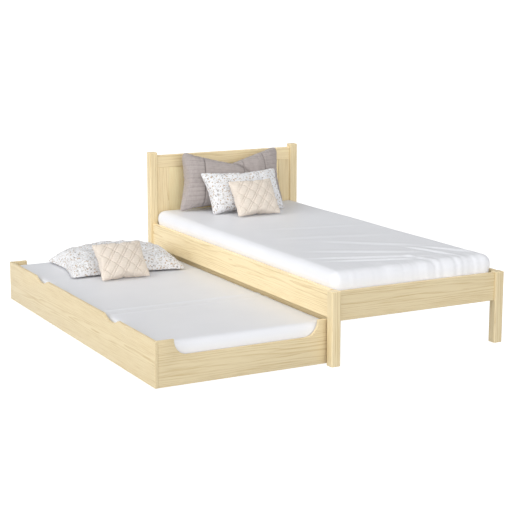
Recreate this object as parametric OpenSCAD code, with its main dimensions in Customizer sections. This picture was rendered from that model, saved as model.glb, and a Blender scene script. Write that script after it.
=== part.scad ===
// Pine trundle bed: a single bed with a framed headboard, and a low second bed on castors
// that rolls out from under its left side rail. Both mattresses and the cushions are included.
// Units are millimetres, +Z is up and +Y runs to the headboard. X is across the bed.
// The origin is on the floor, under the middle of the whole object with the trundle pulled out.

/* [Bed frame] */
// Outside width across the posts
bed_w = 990; // [960:5:1200]
// Outside length over the posts
bed_l = 2100; // [2000:10:2200]
// Side of the square posts
post = 50; // [46:1:60]
// Height of the two head posts
head_post_h = 781; // [760:1:900]
// Height of the two foot posts
foot_post_h = 360; // [358:1:420]
// Radius along the posts' upright edges
post_edge_r = 8; // [4:1:12]
// Chamfer round the posts' tops
post_chamfer = 3; // [1:0.5:6]
// Thickness of every rail and of the headboard's frame
rail_t = 24; // [20:1:28]
// Depth of the side rails
side_rail_h = 135; // [100:1:135]
// Height of the side rails' top edges
side_rail_top = 362; // [355:1:380]
// Depth of the foot rail and of the headboard's bottom rail
end_rail_h = 140; // [110:1:150]
// Height of the top edges of those two rails
end_rail_top = 356; // [340:1:357]

/* [Headboard] */
// Depth of the top rail
head_rail_h = 74; // [50:1:110]
// Height of the top rail's top edge
head_rail_top = 762; // [720:1:765]
// Width of the upright stiles beside the panel
stile_w = 75; // [50:1:120]
// Thickness of the panel
panel_t = 12; // [8:1:14]

/* [Trundle] */
// How far the trundle is pulled out, counted from flush with the posts
pull_out = 868; // [850:1:875]
// Outside width, front board to back board
trundle_w = 925; // [900:1:925]
// Outside length of the front and back boards
trundle_l = 1985; // [1900:5:1990]
// Thickness of the trundle's boards
board_t = 16; // [14:1:20]
// Height of the boards' top edges
board_top = 221; // [200:1:225]
// Clearance between the boards and the floor
floor_gap = 8; // [5:1:12]
// Depth of the long scoop in each end board
scoop_depth = 77; // [60:1:90]
// Radius in the scoop's lower corners
scoop_r = 70; // [30:1:75]
// Full-height part of the end board left at each side of the scoop
scoop_margin = 95; // [60:1:140]
// Length of each hand cut-out in the front board's top edge
grip_l = 185; // [140:1:220]
// Depth of each hand cut-out
grip_depth = 24; // [15:1:30]
// Distance of each hand cut-out from the middle of the front board
grip_y = 480; // [400:5:600]

/* [Castors] */
// Radius of the castor wheels
wheel_r = 20; // [17:0.5:21]
// Width of the castor wheels
wheel_w = 18; // [14:1:20]
// Radius of the castor axles
axle_r = 3; // [2.5:0.1:3.5]

/* [Soft parts] */
// Height of the main mattress's top face
mattress_top = 441; // [430:1:480]
// Height of the trundle mattress's top face
low_mattress_top = 207; // [190:1:212]
// Radius along the mattresses' edges
mattress_r = 32; // [15:1:38]

/* [Hidden] */
$fn = 64;
nib = 0.1;
bed_x = pull_out / 2;
post_x = (bed_w - post) / 2;
post_y = (bed_l - post) / 2;
post_gap_x = bed_w - 2 * post;
post_gap_y = bed_l - 2 * post;
glide_t = 2;
glide_r = 18;
tenon_l = 20;
tenon_t = 10;
tenon_shoulder = 14;
rail_round = 3;
groove_depth = 8;
stile_h = head_rail_top - head_rail_h - end_rail_top;
panel_w = post_gap_x - 2 * stile_w + 2 * groove_depth - 1;
panel_h = stile_h + 2 * groove_depth - 1;
hook_plate = [14, 3, 90];
hook = [3, 8, 14];
hook_pitch = 50;

ledge_t = 24;
ledge_h = 30;
ledge_top = 275;
bed_slat_count = 11;
bed_slat_w = 90;
slat_t = 15;
inner_half_w = post_x - rail_t / 2;
bed_slat_l = 2 * inner_half_w - 4;
bed_slat_pitch = (post_gap_y - 2 * bed_slat_w) / (bed_slat_count - 1) - 1;
tape_w = 20;
tape_t = 1.5;
tape_x = 250;
mattress_w = 2 * inner_half_w - 12;
mattress_l = post_gap_y - 6;
mattress_z = ledge_top + slat_t + tape_t;

tray_x = -(pull_out + bed_w) / 2;
tray_mid_x = tray_x + trundle_w / 2;
tray_in_w = trundle_w - 2 * board_t;
end_inset = 1.5;
end_outer_y = trundle_l / 2 - end_inset;
tray_in_l = 2 * (end_outer_y - board_t);
board_h = board_top - floor_gap;
tongue_l = 6;
tongue_t = 8;
tongue_gap = 15;
low_ledge_t = 20;
low_ledge_h = 25;
low_ledge_top = 85;
bearer_w = 70;
bearer_h = 30;
bearer_y = 840;
low_slat_count = 9;
low_slat_w = 90;
low_slat_l = tray_in_w - 4;
low_slat_pitch = (tray_in_l - low_slat_w - 20) / (low_slat_count - 1);
low_mattress_w = tray_in_w - 13;
low_mattress_l = tray_in_l - 15;
low_mattress_z = low_ledge_top + slat_t;

castor_x = tray_in_w / 2 - 90;
plate = [60, 46, 2.5];
plate_z = low_ledge_top - bearer_h - plate[2];
cheek_t = 2.5;
cheek_w = 22;
cheek_y = wheel_w / 2 + 1.2;
axle_head_r = 5;
axle_head_t = 1.5;
bore_gap = 0.05;
screw_x = 22;
screw_r = 2;
screw_l = 14;
screw_head_r = 4.2;
screw_head_t = 2.2;
screw_gap = 0.1;

// Cushions: width, length, thickness and edge, where the low edge is, and the lean in degrees.
taupe_size = [665, 328, 150, 16];
taupe_low = [-18, 872, 6];
taupe_lean = 12;
floral_size = [485, 262, 120, 14];
floral_low = [-18, 679, 9];
floral_lean = 30;
beige_size = [272, 225, 95, 12];
beige_low = [-21, 530, 9];
beige_lean = 35;
low_pillow_size = [630, 485, 125, 16];
low_pillow_at = [40, 660, 1];
low_pillow_turn = -5;
low_cushion_low = [-46, 305, 9];
low_cushion_lean = 40;

pine = [0.91, 0.83, 0.63];
slat_wood = [0.88, 0.79, 0.6];
cotton = [0.94, 0.94, 0.95];
taupe = [0.65, 0.6, 0.58];
floral = [0.9, 0.89, 0.88];
beige = [0.88, 0.81, 0.73];
webbing = [0.85, 0.85, 0.82];
steel = [0.7, 0.71, 0.73];
nylon = [0.2, 0.2, 0.21];

// A square with rounded corners, built from two bars and four discs.
module round_rect(w, l, r) {
  square([w - 2 * r, l], center = true);
  square([w, l - 2 * r], center = true);
  for (sx = [-1, 1], sy = [-1, 1]) {
    translate([sx * (w / 2 - r), sy * (l / 2 - r)]) circle(r);
  }
}

// A stick of timber along X with eased long edges, centred on X and Y, standing on z = 0.
module stick_x(length, thick, high) {
  translate([-length / 2, 0, high / 2])
    rotate([90, 0, 90])
      linear_extrude(length) round_rect(thick, high, rail_round);
}

module stick_y(length, thick, high) {
  rotate([0, 0, 90]) stick_x(length, thick, high);
}

// A mortise or tenon: a plain block centred on x = 0, y = 0 and on the rail's half height.
module tenon_block(high, grow) {
  size = [2 * (tenon_l + 5 * grow), tenon_t + 2 * grow, high - 2 * tenon_shoulder + 2 * grow];
  translate([0, 0, high / 2]) cube(size, center = true);
}

// Slots for the hooks of one side rail, cut into the post's face at y = 0.
module hook_slots(direction) {
  for (k = [-1, 1]) {
    translate([0, direction * hook[1] / 2, side_rail_top - side_rail_h / 2 + k * hook_pitch / 2])
      cube([hook[0] + 0.4, hook[1] + 2, hook[2] + 8], center = true);
  }
}

// One post. sx and sy give its corner: +1 is right or head, -1 is left or foot.
module bed_post(sx, sy, high) {
  color(pine)
  translate([bed_x + sx * post_x, sy * post_y, 0])
  difference() {
    translate([0, 0, glide_t])
      linear_extrude(high - glide_t) round_rect(post, post, post_edge_r);
    for (turn = [0 : 90 : 270]) {
      rotate([0, 0, turn])
        translate([post / 2, 0, high])
          rotate([0, 45, 0])
            cube([post_chamfer * sqrt(2), post + 2, post_chamfer * sqrt(2)], center = true);
    }
    translate([-sx * post / 2, 0, end_rail_top - end_rail_h]) tenon_block(end_rail_h, nib);
    if (sy > 0) {
      translate([-sx * post / 2, 0, head_rail_top - head_rail_h]) tenon_block(head_rail_h, nib);
    }
    translate([0, -sy * post / 2, 0]) hook_slots(sy);
  }
}

// A rail across the bed with a stub tenon at each end.
module cross_rail(high) {
  stick_x(post_gap_x, rail_t, high);
  for (sx = [-1, 1]) {
    translate([sx * post_gap_x / 2, 0, 0]) tenon_block(high, 0);
  }
}

module foot_rail() {
  color(pine)
  translate([bed_x, -post_y, end_rail_top - end_rail_h]) cross_rail(end_rail_h);
}

// The groove that holds the panel, along X, centred on z = 0.
module panel_groove(length) {
  cube([length, panel_t + 2 * nib, 2 * groove_depth], center = true);
}

module head_top_rail() {
  color(pine)
  translate([bed_x, post_y, head_rail_top - head_rail_h])
  difference() {
    cross_rail(head_rail_h);
    panel_groove(panel_w + 1);
  }
}

module head_bottom_rail() {
  color(pine)
  translate([bed_x, post_y, end_rail_top - end_rail_h])
  difference() {
    cross_rail(end_rail_h);
    translate([0, 0, end_rail_h]) panel_groove(panel_w + 1);
  }
}

module head_stile(sx) {
  color(pine)
  translate([bed_x + sx * (post_gap_x - stile_w) / 2, post_y, end_rail_top])
  difference() {
    linear_extrude(stile_h) square([stile_w, rail_t], center = true);
    translate([-sx * stile_w / 2, 0, stile_h / 2])
      cube([2 * groove_depth, panel_t + 2 * nib, stile_h + 2], center = true);
  }
}

module head_panel() {
  color(pine)
  translate([bed_x, post_y, end_rail_top + stile_h / 2])
    cube([panel_w, panel_t, panel_h], center = true);
}

// A side rail, with a shallow pocket at each end for its hook plate.
module side_rail(sx) {
  color(pine)
  translate([bed_x + sx * post_x, 0, side_rail_top - side_rail_h])
  difference() {
    stick_y(post_gap_y, rail_t, side_rail_h);
    for (sy = [-1, 1]) {
      translate([0, sy * post_gap_y / 2, side_rail_h / 2])
        cube([hook_plate[0] + 2 * nib, 2 * (hook_plate[1] + nib), hook_plate[2] + 2 * nib],
          center = true);
    }
  }
}

// Steel plates let into the side rails' ends, each with two hooks that drop into the post.
module rail_hooks() {
  color(steel)
  for (sx = [-1, 1], sy = [-1, 1]) {
    translate([bed_x + sx * post_x, sy * post_gap_y / 2, side_rail_top - side_rail_h / 2]) {
      translate([0, -sy * hook_plate[1] / 2, 0]) cube(hook_plate, center = true);
      for (k = [-1, 1]) {
        translate([0, sy * hook[1] / 2, k * hook_pitch / 2]) cube(hook, center = true);
      }
    }
  }
}

module post_glides() {
  color(nylon)
  for (sx = [-1, 1], sy = [-1, 1]) {
    translate([bed_x + sx * post_x, sy * post_y, 0]) cylinder(h = glide_t, r = glide_r);
  }
}

module bed_ledge(sx) {
  color(pine)
  translate([bed_x + sx * (inner_half_w - ledge_t / 2), 0, ledge_top - ledge_h])
    stick_y(post_gap_y - 60, ledge_t, ledge_h);
}

module bed_slat(number) {
  color(slat_wood)
  translate([bed_x, (number - (bed_slat_count + 1) / 2) * bed_slat_pitch, ledge_top])
    stick_x(bed_slat_l, bed_slat_w, slat_t);
}

// Two webbing tapes that space the slats.
module slat_tapes() {
  color(webbing)
  for (sx = [-1, 1]) {
    translate([bed_x + sx * tape_x, 0, ledge_top + slat_t + tape_t / 2])
      cube([tape_w, (bed_slat_count - 1) * bed_slat_pitch + bed_slat_w, tape_t], center = true);
  }
}

// A mattress: a slab with every edge and corner rounded, standing on z = 0.
module slab(w, l, h, r) {
  a = w / 2 - r;
  b = l / 2 - r;
  translate([0, 0, h / 2]) {
    cube([w - 2 * r, l - 2 * r, h], center = true);
    cube([w - 2 * r, l, h - 2 * r], center = true);
    cube([w, l - 2 * r, h - 2 * r], center = true);
    for (sx = [-1, 1], sy = [-1, 1]) {
      translate([sx * a, sy * b, 0]) cylinder(h = h - 2 * r, r = r, center = true);
    }
    for (sz = [-1, 1]) {
      for (sx = [-1, 1]) {
        translate([sx * a, 0, sz * (h / 2 - r)])
          rotate([90, 0, 0]) cylinder(h = 2 * b, r = r, center = true);
      }
      for (sy = [-1, 1]) {
        translate([0, sy * b, sz * (h / 2 - r)])
          rotate([0, 90, 0]) cylinder(h = 2 * a, r = r, center = true);
      }
      for (sx = [-1, 1], sy = [-1, 1]) {
        translate([sx * a, sy * b, sz * (h / 2 - r)]) sphere(r);
      }
    }
  }
}

module bed_mattress() {
  color(cotton)
  translate([bed_x, 0, mattress_z])
    slab(mattress_w, mattress_l, mattress_top - mattress_z, mattress_r);
}

// The front or back board lies in the YZ plane; its grooves take the end boards' tongues.
module long_board(groove_side) {
  difference() {
    translate([0, -trundle_l / 2, floor_gap]) cube([board_t, trundle_l, board_h]);
    for (sy = [-1, 1]) {
      translate([groove_side > 0 ? board_t : 0, sy * (end_outer_y - board_t / 2),
        (floor_gap + board_top) / 2])
        cube([2 * (tongue_l + nib), tongue_t + 2 * nib, board_h - 2 * tongue_gap + 2 * nib],
          center = true);
    }
  }
}

module trundle_front() {
  grip_r = (grip_l * grip_l / 4 + grip_depth * grip_depth) / (2 * grip_depth);
  color(pine)
  translate([tray_x, 0, 0])
  difference() {
    long_board(1);
    for (sy = [-1, 1]) {
      translate([-1, sy * grip_y, board_top - grip_depth + grip_r])
        rotate([0, 90, 0]) cylinder(h = board_t + 2, r = grip_r, $fn = 128);
    }
  }
}

module trundle_back() {
  color(pine)
  translate([tray_x + trundle_w - board_t, 0, 0]) long_board(-1);
}

// The outline of an end board: full height at both sides, with a long scoop between.
module end_outline() {
  half = tray_in_w / 2;
  scoop_half = trundle_w / 2 - scoop_margin;
  scoop_z = board_top - scoop_depth;
  difference() {
    translate([-half, floor_gap]) square([tray_in_w, board_h]);
    translate([-scoop_half, scoop_z + scoop_r]) square([2 * scoop_half, board_h]);
    translate([-scoop_half + scoop_r, scoop_z])
      square([2 * (scoop_half - scoop_r), board_h]);
    for (sx = [-1, 1]) {
      translate([sx * (scoop_half - scoop_r), scoop_z + scoop_r]) circle(scoop_r);
    }
  }
}

module end_board(sy) {
  color(pine)
  translate([tray_mid_x, sy * (end_outer_y - board_t / 2), 0]) {
    rotate([90, 0, 0]) linear_extrude(board_t, center = true) end_outline();
    for (sx = [-1, 1]) {
      translate([sx * tray_in_w / 2, 0, (floor_gap + board_top) / 2])
        cube([2 * tongue_l, tongue_t, board_h - 2 * tongue_gap], center = true);
    }
  }
}

module trundle_ledge(sx) {
  color(pine)
  translate([tray_mid_x + sx * (tray_in_w - low_ledge_t) / 2, 0, low_ledge_top - low_ledge_h])
    stick_y(tray_in_l - 2, low_ledge_t, low_ledge_h);
}

module trundle_slat(number) {
  color(slat_wood)
  translate([tray_mid_x, (number - (low_slat_count + 1) / 2) * low_slat_pitch, low_ledge_top])
    stick_x(low_slat_l, low_slat_w, slat_t);
}

// Places its children at each castor.
module at_castors() {
  for (sx = [-1, 1], sy = [-1, 1]) {
    translate([tray_mid_x + sx * castor_x, sy * bearer_y, 0]) children();
  }
}

// Blind holes for the castor screws are drilled up into the bearers.
module screw_hole(extra) {
  for (sx = [-1, 1]) {
    translate([sx * screw_x, 0, plate_z - 1])
      cylinder(h = plate[2] + screw_l + 1 + extra, r = screw_r + screw_gap);
  }
}

module bearer(sy) {
  color(pine)
  difference() {
    translate([tray_mid_x, sy * bearer_y, low_ledge_top - bearer_h])
      stick_x(tray_in_w - 2 * low_ledge_t, bearer_w, bearer_h);
    at_castors() screw_hole(1);
  }
}

// A fixed castor fork: a screwed top plate and two cheeks that carry the axle.
module castor_forks() {
  color(steel)
  at_castors()
  difference() {
    union() {
      translate([0, 0, plate_z + plate[2] / 2]) cube(plate, center = true);
      for (sy = [-1, 1]) {
        translate([0, sy * (cheek_y + cheek_t / 2), wheel_r]) {
          rotate([90, 0, 0]) cylinder(h = cheek_t, r = cheek_w / 2, center = true);
          translate([0, 0, (plate_z - wheel_r + 1) / 2])
            cube([cheek_w, cheek_t, plate_z - wheel_r + 1], center = true);
        }
      }
    }
    screw_hole(1);
    translate([0, 0, wheel_r])
      rotate([90, 0, 0]) cylinder(h = plate[1], r = axle_r + bore_gap, center = true);
  }
}

module castor_axles() {
  color(steel)
  at_castors() translate([0, 0, wheel_r]) rotate([90, 0, 0]) {
    cylinder(h = 2 * (cheek_y + cheek_t), r = axle_r, center = true);
    for (sy = [-1, 1]) {
      translate([0, 0, sy * (cheek_y + cheek_t + axle_head_t / 2)])
        cylinder(h = axle_head_t, r = axle_head_r, center = true);
    }
  }
}

module castor_screws() {
  color(steel)
  at_castors()
  for (sx = [-1, 1]) {
    translate([sx * screw_x, 0, plate_z]) {
      cylinder(h = plate[2] + screw_l, r = screw_r);
      translate([0, 0, -screw_head_t]) cylinder(h = screw_head_t, r = screw_head_r);
    }
  }
}

// A nylon wheel with a dished web on each side.
module castor_wheel(sx, sy) {
  color(nylon)
  translate([tray_mid_x + sx * castor_x, sy * bearer_y, wheel_r])
  rotate([90, 0, 0])
  difference() {
    cylinder(h = wheel_w, r = wheel_r, center = true);
    cylinder(h = wheel_w + 2, r = axle_r + bore_gap, center = true);
    for (sz = [-1, 1]) {
      translate([0, 0, sz * wheel_w / 2])
        difference() {
          cylinder(h = 8, r = wheel_r - 4, center = true);
          cylinder(h = 9, r = axle_r + 4, center = true);
        }
    }
  }
}

module trundle_mattress() {
  color(cotton)
  translate([tray_mid_x, 0, low_mattress_z])
    slab(low_mattress_w, low_mattress_l, low_mattress_top - low_mattress_z, mattress_r);
}

// The outline of a stuffed cushion cut through its middle: two shallow arcs with a thin edge.
module lens(w, t, edge) {
  rise = (t - edge) / 2;
  bow = (w * w / 4 + rise * rise) / (2 * rise);
  intersection() {
    square([w, t], center = true);
    translate([0, t / 2 - bow]) circle(bow, $fn = 128);
    translate([0, bow - t / 2]) circle(bow, $fn = 128);
  }
}

// A stuffed cushion lying flat, centred on the origin. size is width, length, thickness, edge.
module cushion(size) {
  rotate([90, 0, 0])
    linear_extrude(size[1], center = true) lens(size[0], size[2], size[3]);
}

module both_ways(size) {
  intersection() {
    cushion(size);
    rotate([0, 0, 90]) cushion([size[1], size[0], size[2], size[3]]);
  }
}

// A cushion leaning back: low is the middle of its lower edge, lean its angle from upright.
module leaning(low, lean, size) {
  translate(low) rotate([90 - lean, 0, 0]) translate([0, size[1] / 2, 0]) both_ways(size);
}

// A cushion at rest on its flattened underside, which is on z = 0.
module resting(size) {
  edge = size[3];
  full = 2 * size[2] - edge;
  translate([0, 0, edge / 2])
  intersection() {
    both_ways([size[0], size[1], full, edge]);
    translate([0, 0, (full - edge) / 2]) cube([2 * size[0], 2 * size[1], full], center = true);
  }
}

module taupe_pillow() {
  color(taupe)
  leaning([bed_x, 0, mattress_top] + taupe_low, taupe_lean, taupe_size);
}

module floral_pillow() {
  color(floral)
  leaning([bed_x, 0, mattress_top] + floral_low, floral_lean, floral_size);
}

module beige_cushion() {
  color(beige)
  leaning([bed_x, 0, mattress_top] + beige_low, beige_lean, beige_size);
}

module trundle_pillow() {
  color(floral)
  translate([tray_mid_x, 0, low_mattress_top] + low_pillow_at)
    rotate([0, 0, low_pillow_turn]) resting(low_pillow_size);
}

module trundle_cushion() {
  color(beige)
  leaning([tray_mid_x, 0, low_mattress_top] + low_cushion_low, low_cushion_lean, beige_size);
}

bed_post(-1, 1, head_post_h);  // post_head_left
bed_post(1, 1, head_post_h);  // post_head_right
bed_post(-1, -1, foot_post_h);  // post_foot_left
bed_post(1, -1, foot_post_h);  // post_foot_right
head_top_rail();
head_bottom_rail();
head_stile(-1);  // head_stile_left
head_stile(1);  // head_stile_right
head_panel();
foot_rail();
side_rail(-1);  // side_rail_left
side_rail(1);  // side_rail_right
bed_ledge(-1);  // ledge_left
bed_ledge(1);  // ledge_right
bed_slat(1);  // bed_slat_1
bed_slat(2);  // bed_slat_2
bed_slat(3);  // bed_slat_3
bed_slat(4);  // bed_slat_4
bed_slat(5);  // bed_slat_5
bed_slat(6);  // bed_slat_6
bed_slat(7);  // bed_slat_7
bed_slat(8);  // bed_slat_8
bed_slat(9);  // bed_slat_9
bed_slat(10);  // bed_slat_10
bed_slat(11);  // bed_slat_11
slat_tapes();
rail_hooks();
post_glides();
bed_mattress();
trundle_front();
trundle_back();
end_board(1);  // trundle_head_end
end_board(-1);  // trundle_foot_end
trundle_ledge(-1);  // trundle_ledge_front
trundle_ledge(1);  // trundle_ledge_back
bearer(1);  // bearer_head
bearer(-1);  // bearer_foot
trundle_slat(1);  // trundle_slat_1
trundle_slat(2);  // trundle_slat_2
trundle_slat(3);  // trundle_slat_3
trundle_slat(4);  // trundle_slat_4
trundle_slat(5);  // trundle_slat_5
trundle_slat(6);  // trundle_slat_6
trundle_slat(7);  // trundle_slat_7
trundle_slat(8);  // trundle_slat_8
trundle_slat(9);  // trundle_slat_9
castor_forks();
castor_axles();
castor_screws();
castor_wheel(-1, 1);  // wheel_head_front
castor_wheel(1, 1);  // wheel_head_back
castor_wheel(-1, -1);  // wheel_foot_front
castor_wheel(1, -1);  // wheel_foot_back
trundle_mattress();
taupe_pillow();
floral_pillow();
beige_cushion();
trundle_pillow();
trundle_cushion();
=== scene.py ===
import math

import bmesh
import bpy
from mathutils import Matrix, Vector, noise


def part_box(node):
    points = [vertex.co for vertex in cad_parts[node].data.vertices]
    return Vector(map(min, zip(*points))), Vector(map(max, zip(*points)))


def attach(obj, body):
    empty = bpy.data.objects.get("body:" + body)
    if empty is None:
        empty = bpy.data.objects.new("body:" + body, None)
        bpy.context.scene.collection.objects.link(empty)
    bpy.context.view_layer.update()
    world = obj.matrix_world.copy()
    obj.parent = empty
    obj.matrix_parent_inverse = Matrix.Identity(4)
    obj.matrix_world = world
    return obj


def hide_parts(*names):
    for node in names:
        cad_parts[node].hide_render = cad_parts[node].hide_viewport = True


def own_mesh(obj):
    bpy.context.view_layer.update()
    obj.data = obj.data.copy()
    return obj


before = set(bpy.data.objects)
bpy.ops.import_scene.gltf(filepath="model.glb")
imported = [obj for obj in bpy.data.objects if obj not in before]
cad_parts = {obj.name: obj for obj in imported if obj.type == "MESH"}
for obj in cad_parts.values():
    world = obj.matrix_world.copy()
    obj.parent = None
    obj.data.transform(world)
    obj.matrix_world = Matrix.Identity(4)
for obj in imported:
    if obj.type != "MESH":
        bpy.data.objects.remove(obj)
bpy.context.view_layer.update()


# ---------------------------------------------------------------------------
# Camera and room.
# The bed stands on a plain white studio floor and is seen from beyond the foot
# end, on the side that the trundle rolls out on, at standing height.
# ---------------------------------------------------------------------------

BED_X = 0.434                     # middle of the bed frame; the trundle stands to its left
CAMERA_AT = (BED_X - 3.7054, -6.2989, 1.7587)
CAMERA_YAW = 0.49303
CAMERA_PITCH = 0.19841
CAMERA_LENS = 95.98

camera_data = bpy.data.cameras.new("camera")
camera_data.lens = CAMERA_LENS
camera_data.sensor_width = 36
camera_data.clip_end = 2000
camera = bpy.data.objects.new("camera", camera_data)
camera.location = CAMERA_AT
camera.rotation_euler = (math.pi / 2 - CAMERA_PITCH, 0, -CAMERA_YAW)
bpy.context.scene.collection.objects.link(camera)
bpy.context.scene.camera = camera
bpy.context.scene.view_settings.view_transform = "Standard"

FLOOR_HALF = 300                  # so wide that its far edge shows only from near the floor
FLOOR_GREY = (0.35, 0.35, 0.35, 1)
FLOOR_GLOW = 0.95
ROOM_LIGHT = (0.97, 0.985, 1.0, 1)
ROOM_STRENGTH = 0.42

floor_mesh = bpy.data.meshes.new("floor")
floor_bm = bmesh.new()
bmesh.ops.create_grid(floor_bm, x_segments=1, y_segments=1, size=FLOOR_HALF)
floor_bm.to_mesh(floor_mesh)
floor_bm.free()
floor = bpy.data.objects.new("floor", floor_mesh)
bpy.context.scene.collection.objects.link(floor)

floor_paint = bpy.data.materials.new("floor_paint")
floor_paint.use_nodes = True
floor_shader = floor_paint.node_tree.nodes["Principled BSDF"]
floor_shader.inputs["Base Color"].default_value = FLOOR_GREY
floor_shader.inputs["Roughness"].default_value = 0.9
floor_shader.inputs["Specular IOR Level"].default_value = 0.1
floor_shader.inputs["Emission Color"].default_value = (1, 1, 1, 1)
floor_shader.inputs["Emission Strength"].default_value = FLOOR_GLOW
floor_mesh.materials.append(floor_paint)
floor.visible_diffuse = False      # the white sweep is lit apart from the bed, so it casts nothing back

studio = bpy.data.worlds.new("studio")
studio.use_nodes = True
studio.node_tree.nodes["Background"].inputs["Color"].default_value = ROOM_LIGHT
studio.node_tree.nodes["Background"].inputs["Strength"].default_value = ROOM_STRENGTH
bpy.context.scene.world = studio


def soft_sun(name, towards, strength, spread):
    """A very soft lamp far away: towards is the way its light travels."""
    lamp = bpy.data.lights.new(name, "SUN")
    lamp.energy = strength
    lamp.angle = spread
    made = bpy.data.objects.new(name, lamp)
    made.rotation_euler = Vector(towards).to_track_quat("-Z", "Y").to_euler()
    bpy.context.scene.collection.objects.link(made)


soft_sun("window_light", (0.90, 0.02, -0.38), 1.9, math.radians(60))
soft_sun("room_light", (0.15, 0.95, -0.28), 1.75, math.radians(70))


# ---------------------------------------------------------------------------
# Posts.
# Four square pine posts, planed and with the upright edges rounded over; the
# two at the head stand higher. They are lacquered clear, so the grain shows.
# ---------------------------------------------------------------------------

PINE_PALE = (0.79, 0.66, 0.415, 1)
PINE_WARM = (0.66, 0.51, 0.275, 1)
PINE_DARK = (0.50, 0.355, 0.165, 1)
BRIGHTEST = 0.96                  # a lacquered board's pale and warm grain colours are held under this, before faces that look up get their painted light
RING = 0.0048                     # width of one year's growth
TILT = 0.007                      # how far the pith runs off the board's own line, for each metre of it
STRAY = 0.030                     # how far the rings stray from round
GRAIN_SCALE = 0.9, 9.0            # cells of that stray per metre, along the grain and across it
FIBRE_SCALE = 9.0, 300.0          # the same for the fine fibres
LATE_WOOD = 2.6                   # the higher, the narrower each ring's dark part
RING_SHARE = 0.56                 # how much rings, broad clouds and fibres each darken the wood
CLOUD_SHARE = 0.50
FIBRE_SHARE = 1.25
PAINTED_TOP_LIGHT = (1.24, 1.25, 1.30, 1)     # painted light: faces that look up are painted this much paler, for want of overhead light


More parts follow.
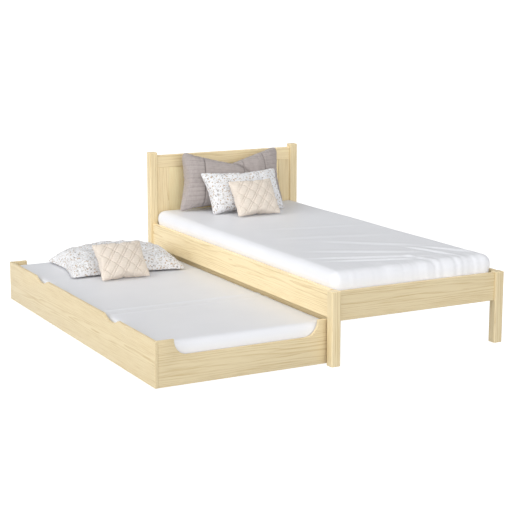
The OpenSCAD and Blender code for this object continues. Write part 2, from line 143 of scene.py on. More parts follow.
def pine(name, grain, pith, ring=RING, tilt=TILT, tone_and_painted_light=1.0):
    """Lacquered pine sawn from a log: growth rings round a pith line along grain, with fine fibres.

    pith is the point the pith line passes through; the rings are cut where the board's faces lie. The
    last argument scales the pale and warm colours: partly a piece's own tone, partly painted light and
    shade.
    """
    made = bpy.data.materials.new(name)
    made.use_nodes = True
    tree = made.node_tree
    shader = tree.nodes["Principled BSDF"]

    def node(kind, **values):
        new = tree.nodes.new(kind)
        for key, value in values.items():
            setattr(new, key, value)
        return new

    def worked(operation, *values):
        """The result of a sum on sockets and numbers."""
        new = node("ShaderNodeMath", operation=operation)
        for place, value in enumerate(values):
            if isinstance(value, (int, float)):
                new.inputs[place].default_value = value
            else:
                tree.links.new(value, new.inputs[place])
        return new.outputs[0]

    def clouds(place, scale, detail):
        """Soft noise over the given place."""
        new = node("ShaderNodeTexNoise", noise_dimensions="3D")
        new.inputs["Scale"].default_value = scale
        new.inputs["Detail"].default_value = detail
        tree.links.new(place, new.inputs["Vector"])
        return new.outputs["Fac"]

    where = node("ShaderNodeTexCoord")
    moved = node("ShaderNodeVectorMath", operation="SUBTRACT")
    tree.links.new(where.outputs["Object"], moved.inputs[0])
    moved.inputs[1].default_value = pith
    parts = node("ShaderNodeSeparateXYZ")
    tree.links.new(moved.outputs[0], parts.inputs[0])
    order = {"X": "XYZ", "Y": "YXZ", "Z": "ZXY"}[grain]
    run, side, deep = (parts.outputs[axis] for axis in order)

    def drawn_out(along, across):
        """The place in the log, measured in cells that are long along the grain."""
        new = node("ShaderNodeCombineXYZ")
        for socket, (distance, scale) in enumerate(((run, along), (side, across), (deep, across))):
            tree.links.new(worked("MULTIPLY", distance, scale), new.inputs[socket])
        return new.outputs[0]

    stretched = drawn_out(*GRAIN_SCALE)
    leaning = worked("ADD", deep, worked("MULTIPLY", run, tilt))
    squares = worked("ADD", worked("MULTIPLY", side, side), worked("MULTIPLY", leaning, leaning))
    radius = worked("SQRT", squares)
    strayed = worked("ADD", radius, worked("MULTIPLY", clouds(stretched, 1.0, 3.0), STRAY))
    late = worked("POWER", worked("FRACT", worked("DIVIDE", strayed, ring)), LATE_WOOD)
    fibre = clouds(drawn_out(*FIBRE_SCALE), 1.0, 2.0)
    broad = clouds(stretched, 2.4, 1.0)
    tone = worked("ADD", worked("MULTIPLY", late, RING_SHARE),
                  worked("MULTIPLY", worked("SUBTRACT", broad, 0.5), CLOUD_SHARE))
    tone = worked("ADD", tone, worked("MULTIPLY", worked("SUBTRACT", fibre, 0.5), FIBRE_SHARE))

    ramp = node("ShaderNodeValToRGB")
    ramp.color_ramp.elements[1].position = 0.55
    for stop, colour in zip(ramp.color_ramp.elements, (PINE_PALE, PINE_WARM)):
        stop.color = [min(BRIGHTEST, tone_and_painted_light * part) for part in colour[:3]] + [1]
    ramp.color_ramp.elements.new(1.0).color = PINE_DARK
    tree.links.new(tone, ramp.inputs[0])
    # Painted light: faces that look up are mixed paler in colour, standing in for the light from above
    # that the lamps lack.
    facing = node("ShaderNodeNewGeometry")
    upright = node("ShaderNodeSeparateXYZ")
    tree.links.new(facing.outputs["Normal"], upright.inputs[0])
    painted_top_light_mix = node("ShaderNodeMix", data_type="RGBA", blend_type="MULTIPLY")
    painted_top_light_mix.inputs["B"].default_value = PAINTED_TOP_LIGHT
    tree.links.new(worked("MAXIMUM", upright.outputs["Z"], 0.0), painted_top_light_mix.inputs["Factor"])
    tree.links.new(ramp.outputs["Color"], painted_top_light_mix.inputs["A"])
    tree.links.new(painted_top_light_mix.outputs["Result"], shader.inputs["Base Color"])

    gloss = node("ShaderNodeMapRange")
    gloss.inputs["To Min"].default_value = 0.42
    gloss.inputs["To Max"].default_value = 0.56
    tree.links.new(late, gloss.inputs["Value"])
    tree.links.new(gloss.outputs[0], shader.inputs["Roughness"])
    bump = node("ShaderNodeBump")
    bump.inputs["Strength"].default_value = 0.25
    bump.inputs["Distance"].default_value = 0.0004
    tree.links.new(worked("ADD", fibre, worked("MULTIPLY", late, 0.5)), bump.inputs["Height"])
    tree.links.new(bump.outputs["Normal"], shader.inputs["Normal"])
    shader.inputs["Specular IOR Level"].default_value = 0.4
    shader.inputs["Coat Weight"].default_value = 0.08
    shader.inputs["Coat Roughness"].default_value = 0.3
    return made


def centre(name):
    """The middle of a part's box."""
    low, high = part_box(name)
    return (low + high) / 2


def finish_node(name, material):
    """Gives a part that is kept plain its material."""
    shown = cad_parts[name]
    shown.data.materials.clear()
    shown.data.materials.append(material)


# Painted light and shade: each post's colour is scaled partly for its own tone and partly for how
# brightly it stands lit, the foot right one darker for the bed's shade on it.
for number, (corner, tone_and_painted_light) in enumerate((("head_left", 1.07), ("head_right", 1.0),
                                          ("foot_left", 1.03), ("foot_right", 0.93))):
    middle = centre("post_" + corner)
    pith = (middle.x + 0.05, middle.y + 0.06 + 0.01 * number, 0)
    finish_node("post_" + corner, pine("post_pine_" + corner, "Z", pith, tone_and_painted_light=tone_and_painted_light))


# ---------------------------------------------------------------------------
# Headboard.
# A pine frame, two rails and two stiles, grooved round a thinner flat panel
# whose grain stands upright. The rails are tenoned into the posts.
# ---------------------------------------------------------------------------

# Painted light and shade: the last number scales each piece's colour, partly its own tone and partly how
# brightly it stands lit; the panel is made much paler against the shade the pillows cast on it.
for name, grain, shift, tone_and_painted_light in (("head_top_rail", "X", (0.2, 0.07, 0.04), 1.08),
                                 ("head_bottom_rail", "X", (-0.1, 0.08, 0.05), 1.0),
                                 ("head_stile_left", "Z", (0.05, 0.07, 0.1), 1.12),
                                 ("head_stile_right", "Z", (-0.04, 0.06, -0.2), 0.98),
                                 ("head_panel", "Z", (-0.12, 0.09, 0.0), 1.28)):
    finish_node(name, pine(name + "_pine", grain, centre(name) + Vector(shift), tone_and_painted_light=tone_and_painted_light))


# ---------------------------------------------------------------------------
# Rails.
# The side rails and the foot rail are pine boards set in the middle of the
# posts' faces. Battens glued inside the side rails carry the slats.
# ---------------------------------------------------------------------------

# Painted light and shade: the last number scales each rail's colour, partly its own tone and partly how
# brightly it stands lit; the left side rail is made paler for the light the low white mattress throws on
# it.
for name, grain, shift, tone_and_painted_light in (("foot_rail", "X", (0.3, 0.06, 0.02), 0.93),
                                 ("side_rail_left", "Y", (0.07, 0.2, 0.03), 1.14),
                                 ("side_rail_right", "Y", (-0.07, -0.3, 0.05), 1.05),
                                 ("ledge_left", "Y", (0.06, 0.1, 0.05), 0.95),
                                 ("ledge_right", "Y", (-0.06, 0.4, 0.06), 0.95)):
    finish_node(name, pine(name + "_pine", grain, centre(name) + Vector(shift), tone_and_painted_light=tone_and_painted_light))


# ---------------------------------------------------------------------------
# Slatted base.
# Eleven sawn pine slats lie across the bed on the battens. Two woven polyester
# tapes are stapled over them and keep them evenly spaced.
# ---------------------------------------------------------------------------

SAWN_RING = 0.009                 # the slats are sawn from quicker-grown logs
BED_SLATS = 11

slat_pine = pine("slat_pine", "X", (0.1, 0.37, 0.16), ring=SAWN_RING)
for number in range(1, BED_SLATS + 1):
    finish_node(f"bed_slat_{number}", slat_pine)

TAPE_THREAD = 0.0012              # pitch of the tapes' threads


def woven(name, light, dark, pitch, groove_shade_share=0.0):
    """Plain-woven tape or cloth: over and under threads at the given pitch, on Object coordinates.

    The last argument is how much painted shade darkens the cloth down in its sewn grooves, where shade
    would fall.
    """
    made = bpy.data.materials.new(name)
    made.use_nodes = True
    tree = made.node_tree
    shader = tree.nodes["Principled BSDF"]
    where = tree.nodes.new("ShaderNodeTexCoord")
    threads = []
    for direction in ("X", "Y", "Z"):
        wave = tree.nodes.new("ShaderNodeTexWave")
        wave.bands_direction = direction
        wave.inputs["Scale"].default_value = 1 / pitch / 20
        wave.inputs["Distortion"].default_value = 0.6
        wave.inputs["Detail"].default_value = 1.0
        tree.links.new(where.outputs["Object"], wave.inputs["Vector"])
        threads.append(wave.outputs["Fac"])
    weave = tree.nodes.new("ShaderNodeMath")
    weave.operation = "MULTIPLY"
    tree.links.new(threads[0], weave.inputs[0])
    tree.links.new(threads[1], weave.inputs[1])
    both = tree.nodes.new("ShaderNodeMath")
    both.operation = "MULTIPLY_ADD"
    tree.links.new(weave.outputs[0], both.inputs[0])
    both.inputs[1].default_value = 0.7
    tree.links.new(threads[2], both.inputs[2])
    fleck = tree.nodes.new("ShaderNodeTexNoise")
    fleck.inputs["Scale"].default_value = 60
    fleck.inputs["Detail"].default_value = 4
    tree.links.new(where.outputs["Object"], fleck.inputs["Vector"])
    mixed = tree.nodes.new("ShaderNodeMath")
    mixed.operation = "MULTIPLY_ADD"
    tree.links.new(both.outputs[0], mixed.inputs[0])
    mixed.inputs[1].default_value = 0.35
    tree.links.new(fleck.outputs["Fac"], mixed.inputs[2])
    ramp = tree.nodes.new("ShaderNodeValToRGB")
    ramp.color_ramp.elements[0].position = 0.35
    ramp.color_ramp.elements[0].color = dark
    ramp.color_ramp.elements[1].position = 0.9
    ramp.color_ramp.elements[1].color = light
    tree.links.new(mixed.outputs[0], ramp.inputs[0])
    tree.links.new(ramp.outputs["Color"], shader.inputs["Base Color"])
    # Painted shade: the sewn grooves are mixed darker, standing in for the shade that falls in them.
    if groove_shade_share:
        groove = tree.nodes.new("ShaderNodeAttribute")
        groove.attribute_name = "groove"
        share = tree.nodes.new("ShaderNodeMath")
        share.operation = "MULTIPLY"
        share.inputs[1].default_value = groove_shade_share
        tree.links.new(groove.outputs["Fac"], share.inputs[0])
        shaded = tree.nodes.new("ShaderNodeMix")
        shaded.data_type = "RGBA"
        shaded.inputs["B"].default_value = [0.35 * part for part in dark[:3]] + [1]
        tree.links.new(share.outputs[0], shaded.inputs["Factor"])
        tree.links.new(ramp.outputs["Color"], shaded.inputs["A"])
        tree.links.new(shaded.outputs["Result"], shader.inputs["Base Color"])
    bump = tree.nodes.new("ShaderNodeBump")
    bump.inputs["Strength"].default_value = 0.5
    bump.inputs["Distance"].default_value = 0.0003
    tree.links.new(mixed.outputs[0], bump.inputs["Height"])
    tree.links.new(bump.outputs["Normal"], shader.inputs["Normal"])
    shader.inputs["Roughness"].default_value = 0.85
    shader.inputs["Specular IOR Level"].default_value = 0.15
    shader.inputs["Sheen Weight"].default_value = 0.15
    shader.inputs["Sheen Roughness"].default_value = 0.5
    return made


finish_node("slat_tapes", woven("tape_weave", (0.72, 0.72, 0.69, 1), (0.5, 0.5, 0.47, 1), TAPE_THREAD))


# ---------------------------------------------------------------------------
# Bed fittings.
# Zinc-plated hook plates let into the rails' ends, and moulded glides nailed
# under the posts. Both are all but hidden once the bed stands.
# ---------------------------------------------------------------------------


def moulded(name, colour, deeper, roughness, metallic=0.0):
    """Moulded plastic or plated steel: a fine mottle in colour, roughness and bump."""
    made = bpy.data.materials.new(name)
    made.use_nodes = True
    tree = made.node_tree
    shader = tree.nodes["Principled BSDF"]
    where = tree.nodes.new("ShaderNodeTexCoord")
    speck = tree.nodes.new("ShaderNodeTexNoise")
    speck.inputs["Scale"].default_value = 500
    speck.inputs["Detail"].default_value = 3
    tree.links.new(where.outputs["Object"], speck.inputs["Vector"])
    ramp = tree.nodes.new("ShaderNodeValToRGB")
    ramp.color_ramp.elements[0].position = 0.3
    ramp.color_ramp.elements[0].color = deeper
    ramp.color_ramp.elements[1].position = 0.7
    ramp.color_ramp.elements[1].color = colour
    tree.links.new(speck.outputs["Fac"], ramp.inputs[0])
    tree.links.new(ramp.outputs["Color"], shader.inputs["Base Color"])
    spread = tree.nodes.new("ShaderNodeMapRange")
    spread.inputs["To Min"].default_value = roughness - 0.06
    spread.inputs["To Max"].default_value = roughness + 0.06
    tree.links.new(speck.outputs["Fac"], spread.inputs["Value"])
    tree.links.new(spread.outputs[0], shader.inputs["Roughness"])
    bump = tree.nodes.new("ShaderNodeBump")
    bump.inputs["Strength"].default_value = 0.15
    bump.inputs["Distance"].default_value = 0.0002
    tree.links.new(speck.outputs["Fac"], bump.inputs["Height"])
    tree.links.new(bump.outputs["Normal"], shader.inputs["Normal"])
    shader.inputs["Metallic"].default_value = metallic
    return made


zinc = moulded("zinc_plate", (0.66, 0.67, 0.69, 1), (0.5, 0.51, 0.54, 1), 0.35, metallic=1.0)
finish_node("rail_hooks", zinc)
finish_node("post_glides", moulded("glide_nylon", (0.62, 0.6, 0.55, 1), (0.5, 0.48, 0.43, 1), 0.5))


# ---------------------------------------------------------------------------
# Trundle box.
# Four pine boards. The long front and back boards run past the end boards,
# which are scooped low for making the bed; the front has two hand cut-outs.
# ---------------------------------------------------------------------------

EASE = 0.0018                     # radius sanded on the trundle boards' edges


def eased_board(node, body, material):
    """A board cut as its plain part, with every sharp edge sanded round to the radius EASE."""
    bm = bmesh.new()
    bm.from_mesh(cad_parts[node].data)
    bmesh.ops.remove_doubles(bm, verts=bm.verts, dist=0.00002)
    bmesh.ops.dissolve_limit(bm, angle_limit=math.radians(1), verts=bm.verts, edges=bm.edges)
    sharp = [e for e in bm.edges if len(e.link_faces) == 2 and e.calc_face_angle() > math.radians(25)]
    bmesh.ops.bevel(bm, geom=sharp, offset=EASE, offset_type="OFFSET", affect="EDGES",
                    segments=3, profile=0.5, material=-1, clamp_overlap=True)
    bmesh.ops.triangulate(bm, faces=[f for f in bm.faces if len(f.verts) > 4])
    mesh = bpy.data.meshes.new(node + "_board")
    bm.to_mesh(mesh)
    bm.free()
    mesh.shade_smooth()
    mesh.set_sharp_from_angle(angle=math.radians(40))
    board = bpy.data.objects.new(node + "_board", mesh)
    bpy.context.scene.collection.objects.link(board)
    mesh.materials.append(material)
    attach(board, body)
    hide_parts(node)


# Painted light and shade in part: the last number scales each board's colour for how brightly it stands
# lit as well as for its own tone.
for name, grain, shift, tilt, tone_and_painted_light in (("trundle_front", "Y", (0.034, 0.5, -0.02), 0.024, 0.98),
                                       ("trundle_back", "Y", (0.06, 0.1, 0.03), 0.007, 0.9),
                                       ("trundle_head_end", "X", (0.2, 0.07, 0.02), 0.007, 0.95),
                                       ("trundle_foot_end", "X", (0.1, 0.07, -0.03), 0.007, 0.93)):
    wood = pine(name + "_pine", grain, centre(name) + Vector(shift), tilt=tilt, tone_and_painted_light=tone_and_painted_light)
    eased_board(name, "trundle", wood)


# ---------------------------------------------------------------------------
# Trundle base.
# Battens glued inside the box carry nine slats; a stout bearer near each end
# takes the castors' screws.
# ---------------------------------------------------------------------------

LOW_SLATS = 9

low_slat_pine = pine("low_slat_pine", "X", (0.3, 0.21, 0.0), ring=SAWN_RING)
low_slats = [f"trundle_slat_{number}" for number in range(1, LOW_SLATS + 1)]
for name in low_slats + ["bearer_head", "bearer_foot"]:
    finish_node(name, low_slat_pine)
batten_pine = pine("batten_pine", "Y", (-0.5, 0.3, 0.0), ring=0.008)
for name in ("trundle_ledge_front", "trundle_ledge_back"):
    finish_node(name, batten_pine)


# ---------------------------------------------------------------------------
# Castors.
# Four fixed castors screwed under the bearers: a pressed zinc-plated fork, a
# riveted steel axle and a moulded nylon wheel on each.
# ---------------------------------------------------------------------------

for name in ("castor_forks", "castor_axles", "castor_screws"):
    finish_node(name, zinc)
wheel_nylon = moulded("wheel_nylon", (0.055, 0.055, 0.06, 1), (0.035, 0.035, 0.038, 1), 0.45)
for name in ("wheel_head_front", "wheel_head_back", "wheel_foot_front", "wheel_foot_back"):
    finish_node(name, wheel_nylon)


# ---------------------------------------------------------------------------
# Mattresses.
# Two foam mattresses in fitted white cotton sheets. The cloth is drawn over
# rounded edges and creases a little where the elastic pulls at the corners.
# ---------------------------------------------------------------------------

SHEET_WHITE = (0.86, 0.865, 0.895, 1)


def cotton(name, colour):
    """Smooth cotton satin: an even colour with faint clouds, a fine thread and slack creases."""
    made = bpy.data.materials.new(name)
    made.use_nodes = True
    tree = made.node_tree
    shader = tree.nodes["Principled BSDF"]
    where = tree.nodes.new("ShaderNodeTexCoord")
    clouds = tree.nodes.new("ShaderNodeTexNoise")
    clouds.inputs["Scale"].default_value = 5
    clouds.inputs["Detail"].default_value = 2
    tree.links.new(where.outputs["Object"], clouds.inputs["Vector"])
    ramp = tree.nodes.new("ShaderNodeValToRGB")
    ramp.color_ramp.elements[0].position = 0.3
    ramp.color_ramp.elements[0].color = tuple(0.975 * c for c in colour[:3]) + (1,)
    ramp.color_ramp.elements[1].position = 0.7
    ramp.color_ramp.elements[1].color = colour
    tree.links.new(clouds.outputs["Fac"], ramp.inputs[0])
    tree.links.new(ramp.outputs["Color"], shader.inputs["Base Color"])
    thread = tree.nodes.new("ShaderNodeTexNoise")
    thread.inputs["Scale"].default_value = 900
    thread.inputs["Detail"].default_value = 2
    tree.links.new(where.outputs["Object"], thread.inputs["Vector"])
    thread_bump = tree.nodes.new("ShaderNodeBump")
    thread_bump.inputs["Strength"].default_value = 0.2
    thread_bump.inputs["Distance"].default_value = 0.0002
    tree.links.new(thread.outputs["Fac"], thread_bump.inputs["Height"])
    crease = tree.nodes.new("ShaderNodeTexNoise")
    crease.inputs["Scale"].default_value = 4
    crease.inputs["Detail"].default_value = 3
    crease.inputs["Distortion"].default_value = 1.2
    tree.links.new(where.outputs["Object"], crease.inputs["Vector"])
    crease_bump = tree.nodes.new("ShaderNodeBump")
    crease_bump.inputs["Strength"].default_value = 0.5
    crease_bump.inputs["Distance"].default_value = 0.002
    tree.links.new(crease.outputs["Fac"], crease_bump.inputs["Height"])
    tree.links.new(thread_bump.outputs["Normal"], crease_bump.inputs["Normal"])
    tree.links.new(crease_bump.outputs["Normal"], shader.inputs["Normal"])
    shader.inputs["Roughness"].default_value = 0.42
    shader.inputs["Specular IOR Level"].default_value = 0.4
    shader.inputs["Sheen Weight"].default_value = 0.1
    return made


sheet_cotton = cotton("sheet_cotton", SHEET_WHITE)

SKIN = 0.008                      # spacing of the sheet's mesh
MAIN_EDGE = 0.044                 # radius round the main mattress's edges
LOW_EDGE = 0.030


def mattress(node, body, edge, swell, slack):
    """A foam slab in a fitted sheet, rounded to the radius edge.

    swell(z) is how far it spreads across and along at that height, and
    slack(x, y, z, v) is the height of its creases, v running from -1 at the foot to 1 at the head.
    """
    low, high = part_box(node)
    half = (high - low) / 2
    middle = centre(node)
    mesh = bpy.data.meshes.new(node + "_sheeted")
    made = bpy.data.objects.new(node + "_sheeted", mesh)
    bpy.context.scene.collection.objects.link(made)
    bm = bmesh.new()
    bmesh.ops.create_cube(bm, size=2.0, matrix=Matrix.Translation(middle) @ Matrix.Diagonal((*half, 1)))
    bmesh.ops.bevel(bm, geom=bm.edges[:], offset=edge, offset_type="OFFSET", affect="EDGES",
                    segments=6, profile=0.5, material=-1)
    bm.to_mesh(mesh)
    bm.free()
    skin = made.modifiers.new("skin", "REMESH")
    skin.mode = "VOXEL"
    skin.voxel_size = SKIN
    with bpy.context.temp_override(object=made, active_object=made, selected_objects=[made]):
        bpy.ops.object.modifier_apply(modifier="skin")
    mesh = made.data
    bm = bmesh.new()
    bm.from_mesh(mesh)
    bmesh.ops.smooth_vert(bm, verts=bm.verts, factor=0.5,
                          use_axis_x=True, use_axis_y=True, use_axis_z=True)
    bm.normal_update()
    for vertex in bm.verts:
        x, y, z = vertex.co
        u, v = (x - middle.x) / half.x, (y - middle.y) / half.y
        across, along = swell(z)
        spread = Vector((across * max(-1.0, min(1.0, u * 1.02)) ** 3,
                         along * max(-1.0, min(1.0, v)) ** 9, 0))
        vertex.co += spread + vertex.normal * slack(x, y, z, v)
    bm.to_mesh(mesh)
    bm.free()
    mesh.shade_smooth()
    mesh.materials.clear()
    mesh.materials.append(sheet_cotton)
    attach(made, body)
    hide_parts(node)


def fold(x, y, start, end, width, height):
    """One soft crease along the line from start to end, fading out at both ends."""
    run = Vector(end) - Vector(start)
    length = run.length
    off = Vector((x, y)) - Vector(start)
    along = off.dot(run) / length ** 2
    if not -0.3 < along < 1.3:
        return 0.0
    across = (off.x * run.y - off.y * run.x) / length
    fade = math.exp(-(2.2 * (along - 0.5)) ** 4)
    ridge = math.exp(-(across / width) ** 2)
    hollow = math.exp(-((across - 1.7 * width) / width) ** 2)
    return height * fade * (ridge - 0.6 * hollow)


RAIL_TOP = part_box("side_rail_left")[1].z
BULGE = 0.006                     # how far the foam stands out over the rails
MAIN_MIDDLE = centre("bed_mattress")
GATHERED = 0.0050                 # height of the upright gathers at the foot
DRIFT = 0.0022                    # height of the sheet's broad waves
PULLS = (                         # each crease's start, end, width and height, x from the bed's middle
    ((-0.40, -0.66), (0.16, -0.86), 0.015, 0.0050),
    ((-0.36, -0.76), (0.10, -0.90), 0.012, 0.0046),
    ((-0.30, -0.50), (0.22, -0.78), 0.022, 0.0042),
    ((-0.10, -0.30), (0.30, -0.62), 0.026, 0.0034),
    ((0.20, -0.62), (0.30, -0.95), 0.014, 0.0050),
    ((0.28, -0.66), (0.42, -0.90), 0.014, 0.0048),
    ((0.06, -0.80), (0.14, -0.99), 0.016, 0.0044),
    ((-0.25, 0.15), (0.38, 0.02), 0.024, 0.0018),
    ((-0.30, -0.12), (0.34, -0.28), 0.028, 0.0022),
)


def main_swell(z):
    """Above the rails nothing holds the foam in, so it stands out a little over them."""
    above = max(0.0, min(1.0, (z - RAIL_TOP) / 0.02))
    return 0.004 + BULGE * above, 0.012


def main_slack(x, y, z, v):
    """Slack pulls across the bed at the foot end, and gathers upright over the foot edge."""
    x -= MAIN_MIDDLE.x
    lines = sum(fold(x, y, *pull) for pull in PULLS)
    towards_foot = max(0.0, min(1.0, (-v - 0.86) / 0.12))
    upright = (noise.noise(Vector((x * 17.0, 1.0, z * 3.0)))
               + 0.5 * noise.noise(Vector((x * 41.0, 9.0, 0.0))))
    drift = noise.noise(Vector((x * 3.0, y * 2.2, 2.0)))
    return lines + GATHERED * upright * towards_foot + DRIFT * drift - 0.001


IRONED = ((-0.30, 0.0042), (-0.385, 0.0026))    # place along the bed and height of each ironed fold
IRONED_WIDTH = 0.010


def low_swell(z):
    """The box holds the low mattress in, so it fills out evenly."""
    return 0.003, 0.004


def low_slack(x, y, z, v):
    """Two faint folds lie straight across the sheet where it was ironed."""
    folds = sum(height * math.exp(-((y - place) / IRONED_WIDTH) ** 2) for place, height in IRONED)
    return folds + 0.0016 * noise.noise(Vector((x * 2.0, y * 2.6, 7.0))) - 0.0014


mattress("bed_mattress", "bed", MAIN_EDGE, main_swell, main_slack)
mattress("trundle_mattress", "trundle", LOW_EDGE, low_swell, low_slack)


# ---------------------------------------------------------------------------
# Pillows and cushions.
# Two panels of cloth sewn round the edge and blown up by their filling, so the
# corners stay as ears while the sides draw in. The wide taupe one is chopped in
# the middle of its top edge, and the small beige ones are quilted in diamonds.
# ---------------------------------------------------------------------------

PANEL_STEP = 0.0068               # spacing of each panel's mesh before it is subdivided
FILL_FRAMES = 12
FILL_PRESSURE = 4.0
FILL_REACH = 0.03                 # furthest the filling may push the cloth
SEAM_DEPTH = 0.004                # a sewn groove this deep gets the full painted shade
CLOTH_THREAD = 0.0015             # pitch of the covers' threads


def stuffed(node, body, size, place, material, shape, surface, step=PANEL_STEP):
    """A filled cushion, size being width, length and thickness, its low edge along X at place.

    surface(u, v, x, y) gives its lumps and its sewn grooves, u and v running from -1 to 1 over
    each panel, and shape(u, v, panel, x, y, z) moves it once it is filled.
    """
    name = node + "_filled"
    width, length, thick = size
    mesh = bpy.data.meshes.new(name)
    made = bpy.data.objects.new(name, mesh)
    bpy.context.scene.collection.objects.link(made)
    bm = bmesh.new()
    bmesh.ops.create_grid(bm, x_segments=int(width / step), y_segments=int(length / step), size=1.0)
    bmesh.ops.duplicate(bm, geom=bm.verts[:] + bm.edges[:] + bm.faces[:])
    bm.verts.ensure_lookup_table()
    half = len(bm.verts) // 2
    bmesh.ops.reverse_faces(bm, faces=[f for f in bm.faces if f.verts[0].index >= half])
    layers = [bm.verts.layers.float.new(key) for key in ("seam_u", "seam_v", "panel")]
    for number, vertex in enumerate(bm.verts):
        u, v = vertex.co.x, vertex.co.y
        panel = 1.0 if number < half else -1.0
        for layer, value in zip(layers, (u, v, panel)):
            vertex[layer] = value
        full = (max(0.0, 1 - abs(u) ** 2.4) * max(0.0, 1 - abs(v) ** 2.4)) ** 0.55
        draw_in = 0.055 * (1 - v * v) * abs(u) ** 3, 0.075 * (1 - u * u) * abs(v) ** 3
        corner = 1 - 0.045 * (u * v) ** 12
        vertex.co = (width / 2 * u * (1 - draw_in[0]) * corner,
                     length / 2 * v * (1 - draw_in[1]) * corner,
                     panel * thick * 0.42 * full)
    bmesh.ops.remove_doubles(bm, verts=bm.verts, dist=0.00005)
    bmesh.ops.recalc_face_normals(bm, faces=bm.faces)
    bm.to_mesh(mesh)
    bm.free()
    cloth = made.modifiers.new("filling", "CLOTH")
    cloth.settings.quality = 4
    cloth.settings.mass = 0.2
    cloth.settings.use_pressure = True
    cloth.settings.uniform_pressure_force = FILL_PRESSURE
    cloth.settings.effector_weights.gravity = 0
    cloth.settings.bending_stiffness = 0.2
    cloth.collision_settings.use_collision = False
    cloth.point_cache.frame_end = FILL_FRAMES
    for number in range(1, FILL_FRAMES + 1):
        bpy.context.scene.frame_set(number)
    blown = made.evaluated_get(bpy.context.evaluated_depsgraph_get()).data
    moved = [after.co - before.co for before, after in zip(mesh.vertices, blown.vertices)]
    made.modifiers.clear()
    bpy.context.scene.frame_set(1)
    share = min(1.0, FILL_REACH / max(move.length for move in moved))
    for vertex, move in zip(mesh.vertices, moved):
        vertex.co += share * move
    finer = made.modifiers.new("finer", "SUBSURF")
    finer.levels = finer.render_levels = 1
    with bpy.context.temp_override(object=made, active_object=made, selected_objects=[made]):
        bpy.ops.object.modifier_apply(modifier="finer")
    mesh = made.data
    bm = bmesh.new()
    bm.from_mesh(mesh)
    layers = [bm.verts.layers.float[key] for key in ("seam_u", "seam_v", "panel")]
    groove = bm.verts.layers.float.new("groove")
    reach = [max(abs(v.co[k]) for v in bm.verts) for k in range(3)]
    for vertex in bm.verts:
        vertex.co = [vertex.co[k] * size[k] / 2 / reach[k] for k in range(3)]
    bm.normal_update()
    for vertex in bm.verts:
        u, v, panel = (vertex[layer] for layer in layers)
        height, stitched = surface(u, v, vertex.co.x, vertex.co.y)
        vertex.co += vertex.normal * (height + stitched)
        # Painted shade mask: the deeper the sewn groove, the darker it is painted.
        vertex[groove] = min(1.0, -stitched / SEAM_DEPTH)
        x, y, z = vertex.co
        vertex.co = place @ Vector(shape(u, v, panel, x, y + length / 2, z))
    bm.to_mesh(mesh)
    bm.free()
    mesh.shade_smooth()
    mesh.materials.append(material)
    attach(made, body)
    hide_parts(node)
    return made


def as_filled(u, v, panel, x, y, z):
    """Left just as its filling shapes it."""
    return x, y, z


def leant(x, y, z, lean):
    """Stands a cushion on its low edge at x, y, z, leant back by lean degrees."""
    return Matrix.Translation((x, y, z)) @ Matrix.Rotation(math.pi / 2 - math.radians(lean), 4, "X")


def furrow(distance, width, depth):
    """The groove that a row of stitching pulls into padded cloth."""
    return -depth * math.exp(-(distance / width) ** 2)


def nearest(value, pitch):
    """Distance from value to the nearest whole number of pitches."""
    return (value / pitch - round(value / pitch)) * pitch


def rumpled(u, v, x, y):
    """Soft lumps of filling, with gathers running in from the sewn edges."""
    edge = max(abs(u), abs(v))
    along = y if abs(u) > abs(v) else x
    reach = max(0.0, edge - 0.45) * (1 - edge ** 8)
    gathers = noise.noise(Vector((along * 75.0, edge * 2.0, 3.0))) * reach
    lumps = noise.noise(Vector((x * 17.0, y * 17.0, 8.0))) * (1 - edge ** 3)
    return 0.012 * gathers + 0.008 * lumps, 0.0


STEEP_PITCH, FLAT_PITCH = 0.050, 0.062    # between the quilting's rows; the steep ones are double
TWIN = 0.006                              # from the middle of a double row to each of its lines


def diamonds(u, v, x, y):
    """Quilted diamonds: two crossing sets of stitched rows, puffed between."""
    steep = nearest(x * 0.78 - y * 0.62 + TWIN, STEEP_PITCH)
    flat = nearest(x * 0.72 + y * 0.70, FLAT_PITCH)
    inside = 1 - max(abs(u), abs(v)) ** 10
    rows = furrow(steep - TWIN, 0.0032, 0.0040) + furrow(steep + TWIN, 0.0032, 0.0040)
    puffed = 0.0020 * math.cos(math.pi * steep / STEEP_PITCH) * math.cos(math.pi * flat / FLAT_PITCH)
    stitched = inside * (rows + furrow(flat, 0.0034, 0.0040))
    return inside * (0.003 - puffed) + 0.3 * rumpled(u, v, x, y)[0], stitched


BAND = 0.205                      # from the middle of the taupe pillow to each outer band
TAUPE_HALF = 0.167                # half the height of that pillow, less its seam


def tucked(u, v, x, y):
    """Upright seams divide the cover; the outer bands have pintucks across them."""
    seams = sum(furrow(x - at, 0.0036, 0.0052) for at in (-BAND, 0.055, BAND))
    tucks = furrow(nearest(y + 0.01, 0.026), 0.0032, 0.0017) * (1.0 if abs(x) > BAND else 0.0)
    pinch = furrow(x + 0.03 - 0.9 * (TAUPE_HALF - y), 0.010, 0.012) * max(0.0, y / TAUPE_HALF)
    return 0.8 * rumpled(u, v, x, y)[0], (seams + tucks + pinch) * (1 - max(abs(u), abs(v)) ** 12)


CHOP = 0.058                      # how far the chop presses the top edge down


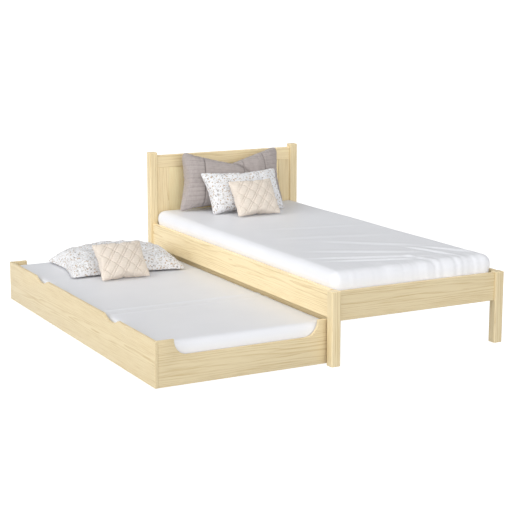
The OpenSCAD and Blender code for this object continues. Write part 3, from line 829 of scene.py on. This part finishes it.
def chopped(u, v, panel, x, y, z):
    """The top edge is pressed down in the middle, so its corners stand up like ears."""
    top = max(0.0, min(1.0, v * 0.5 + 0.5))
    pressed = max(0.0, 1 - abs(u + 0.04) / 0.86) ** 1.15 * top ** 2.2
    y -= CHOP * pressed
    x *= 1 - 0.10 * top ** 1.5 * abs(u)
    x += 0.020 * (top - 0.5) + 0.010
    z += panel * (0.030 * pressed * (1 - pressed) + 0.022 * (top * abs(u)) ** 3 * (1 - top ** 8))
    dent = math.exp(-((u - 0.04 - 0.35 * (1 - top)) / 0.07) ** 2)
    z -= panel * 0.030 * dent * top ** 3 * (1 - top ** 10)
    return x, y, z


def slumped(u, v, panel, x, y, z):
    """Leaning, its weight gathers the lower edge in."""
    return x * (1 - 0.045 * (0.5 - 0.5 * v) * abs(u)) + 0.006 * (0.5 - 0.5 * v), y, z


def settled(u, v, panel, x, y, z):
    """Lying down, the underside goes flat and the corners droop to the sheet."""
    return x, y, 0.008 + (z * 1.72 if panel > 0 else z * 0.10 + 0.002)


INKS = (                          # sprigs per metre, share of the cell that each fills, and its colour
    (60.0, 0.27, (0.50, 0.38, 0.27, 1)),
    (47.0, 0.22, (0.38, 0.36, 0.35, 1)),
    (82.0, 0.33, (0.60, 0.57, 0.54, 1)),
)


def sprigged(name):
    """White cotton printed with small tan and grey sprigs."""
    made = woven(name, (0.82, 0.82, 0.83, 1), (0.72, 0.72, 0.74, 1), CLOTH_THREAD)
    tree = made.node_tree
    shader = tree.nodes["Principled BSDF"]
    ground = shader.inputs["Base Color"].links[0].from_socket
    where = tree.nodes.new("ShaderNodeTexCoord")
    for scale, size, ink in INKS:
        bend = tree.nodes.new("ShaderNodeTexNoise")
        bend.inputs["Scale"].default_value = scale * 0.9
        tree.links.new(where.outputs["Object"], bend.inputs["Vector"])
        push = tree.nodes.new("ShaderNodeVectorMath")
        push.operation = "MULTIPLY_ADD"
        push.inputs[1].default_value = (0.02, 0.02, 0.02)
        tree.links.new(bend.outputs["Color"], push.inputs[0])
        tree.links.new(where.outputs["Object"], push.inputs[2])
        cells = tree.nodes.new("ShaderNodeTexVoronoi")
        cells.inputs["Scale"].default_value = scale
        tree.links.new(push.outputs[0], cells.inputs["Vector"])
        leaf = tree.nodes.new("ShaderNodeMath")
        leaf.operation = "LESS_THAN"
        leaf.inputs[1].default_value = size
        tree.links.new(cells.outputs["Distance"], leaf.inputs[0])
        mix = tree.nodes.new("ShaderNodeMix")
        mix.data_type = "RGBA"
        tree.links.new(leaf.outputs[0], mix.inputs["Factor"])
        tree.links.new(ground, mix.inputs["A"])
        mix.inputs["B"].default_value = ink
        ground = mix.outputs["Result"]
    tree.links.new(ground, shader.inputs["Base Color"])
    return made


# The last number is how much painted shade darkens each cover's sewn grooves.
taupe = woven("taupe_weave", (0.44, 0.39, 0.372, 1), (0.355, 0.312, 0.298, 1), CLOTH_THREAD, 0.5)
floral = sprigged("floral_cotton")
beige = woven("beige_weave", (0.765, 0.685, 0.60, 1), (0.71, 0.625, 0.535, 1), CLOTH_THREAD, 0.09)

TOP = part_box("bed_mattress")[1].z
LOW_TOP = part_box("trundle_mattress")[1].z
LOW_X = centre("trundle_mattress").x
CLEAR = 0.006                     # how far a leant pillow's low seam stands off the sheet
QUILT_CLEAR = 0.008               # the same for the quilted cushions
QUILT_STEP = 0.0048               # the quilted ones need a finer mesh for their rows
LOW_PILLOW_LENGTH = 0.50

stuffed("taupe_pillow", "bed", (0.68, 0.335, 0.165), leant(BED_X - 0.022, 0.872, TOP + CLEAR, 12),
        taupe, chopped, tucked)
stuffed("floral_pillow", "bed", (0.485, 0.258, 0.135), leant(BED_X - 0.016, 0.679, TOP + CLEAR, 31),
        floral, slumped, rumpled)
stuffed("beige_cushion", "bed", (0.272, 0.224, 0.095), leant(BED_X - 0.021, 0.530, TOP + QUILT_CLEAR, 35),
        beige, as_filled, diamonds, QUILT_STEP)
lying = (Matrix.Translation((LOW_X + 0.040, 0.660, LOW_TOP)) @ Matrix.Rotation(math.radians(-5), 4, "Z")
         @ Matrix.Translation((0, -LOW_PILLOW_LENGTH / 2, 0)))
low_pillow = stuffed("trundle_pillow", "trundle", (0.64, LOW_PILLOW_LENGTH, 0.14), lying,
                     floral, settled, rumpled)
low_cushion = stuffed("trundle_cushion", "trundle", (0.274, 0.218, 0.095),
                      leant(LOW_X - 0.046, 0.305, LOW_TOP + QUILT_CLEAR, 40),
                      beige, as_filled, diamonds, QUILT_STEP)

# Pushed in, there is no room for these two. Each gets a mesh of its own.
for soft in (low_pillow, low_cushion):
    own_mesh(soft)
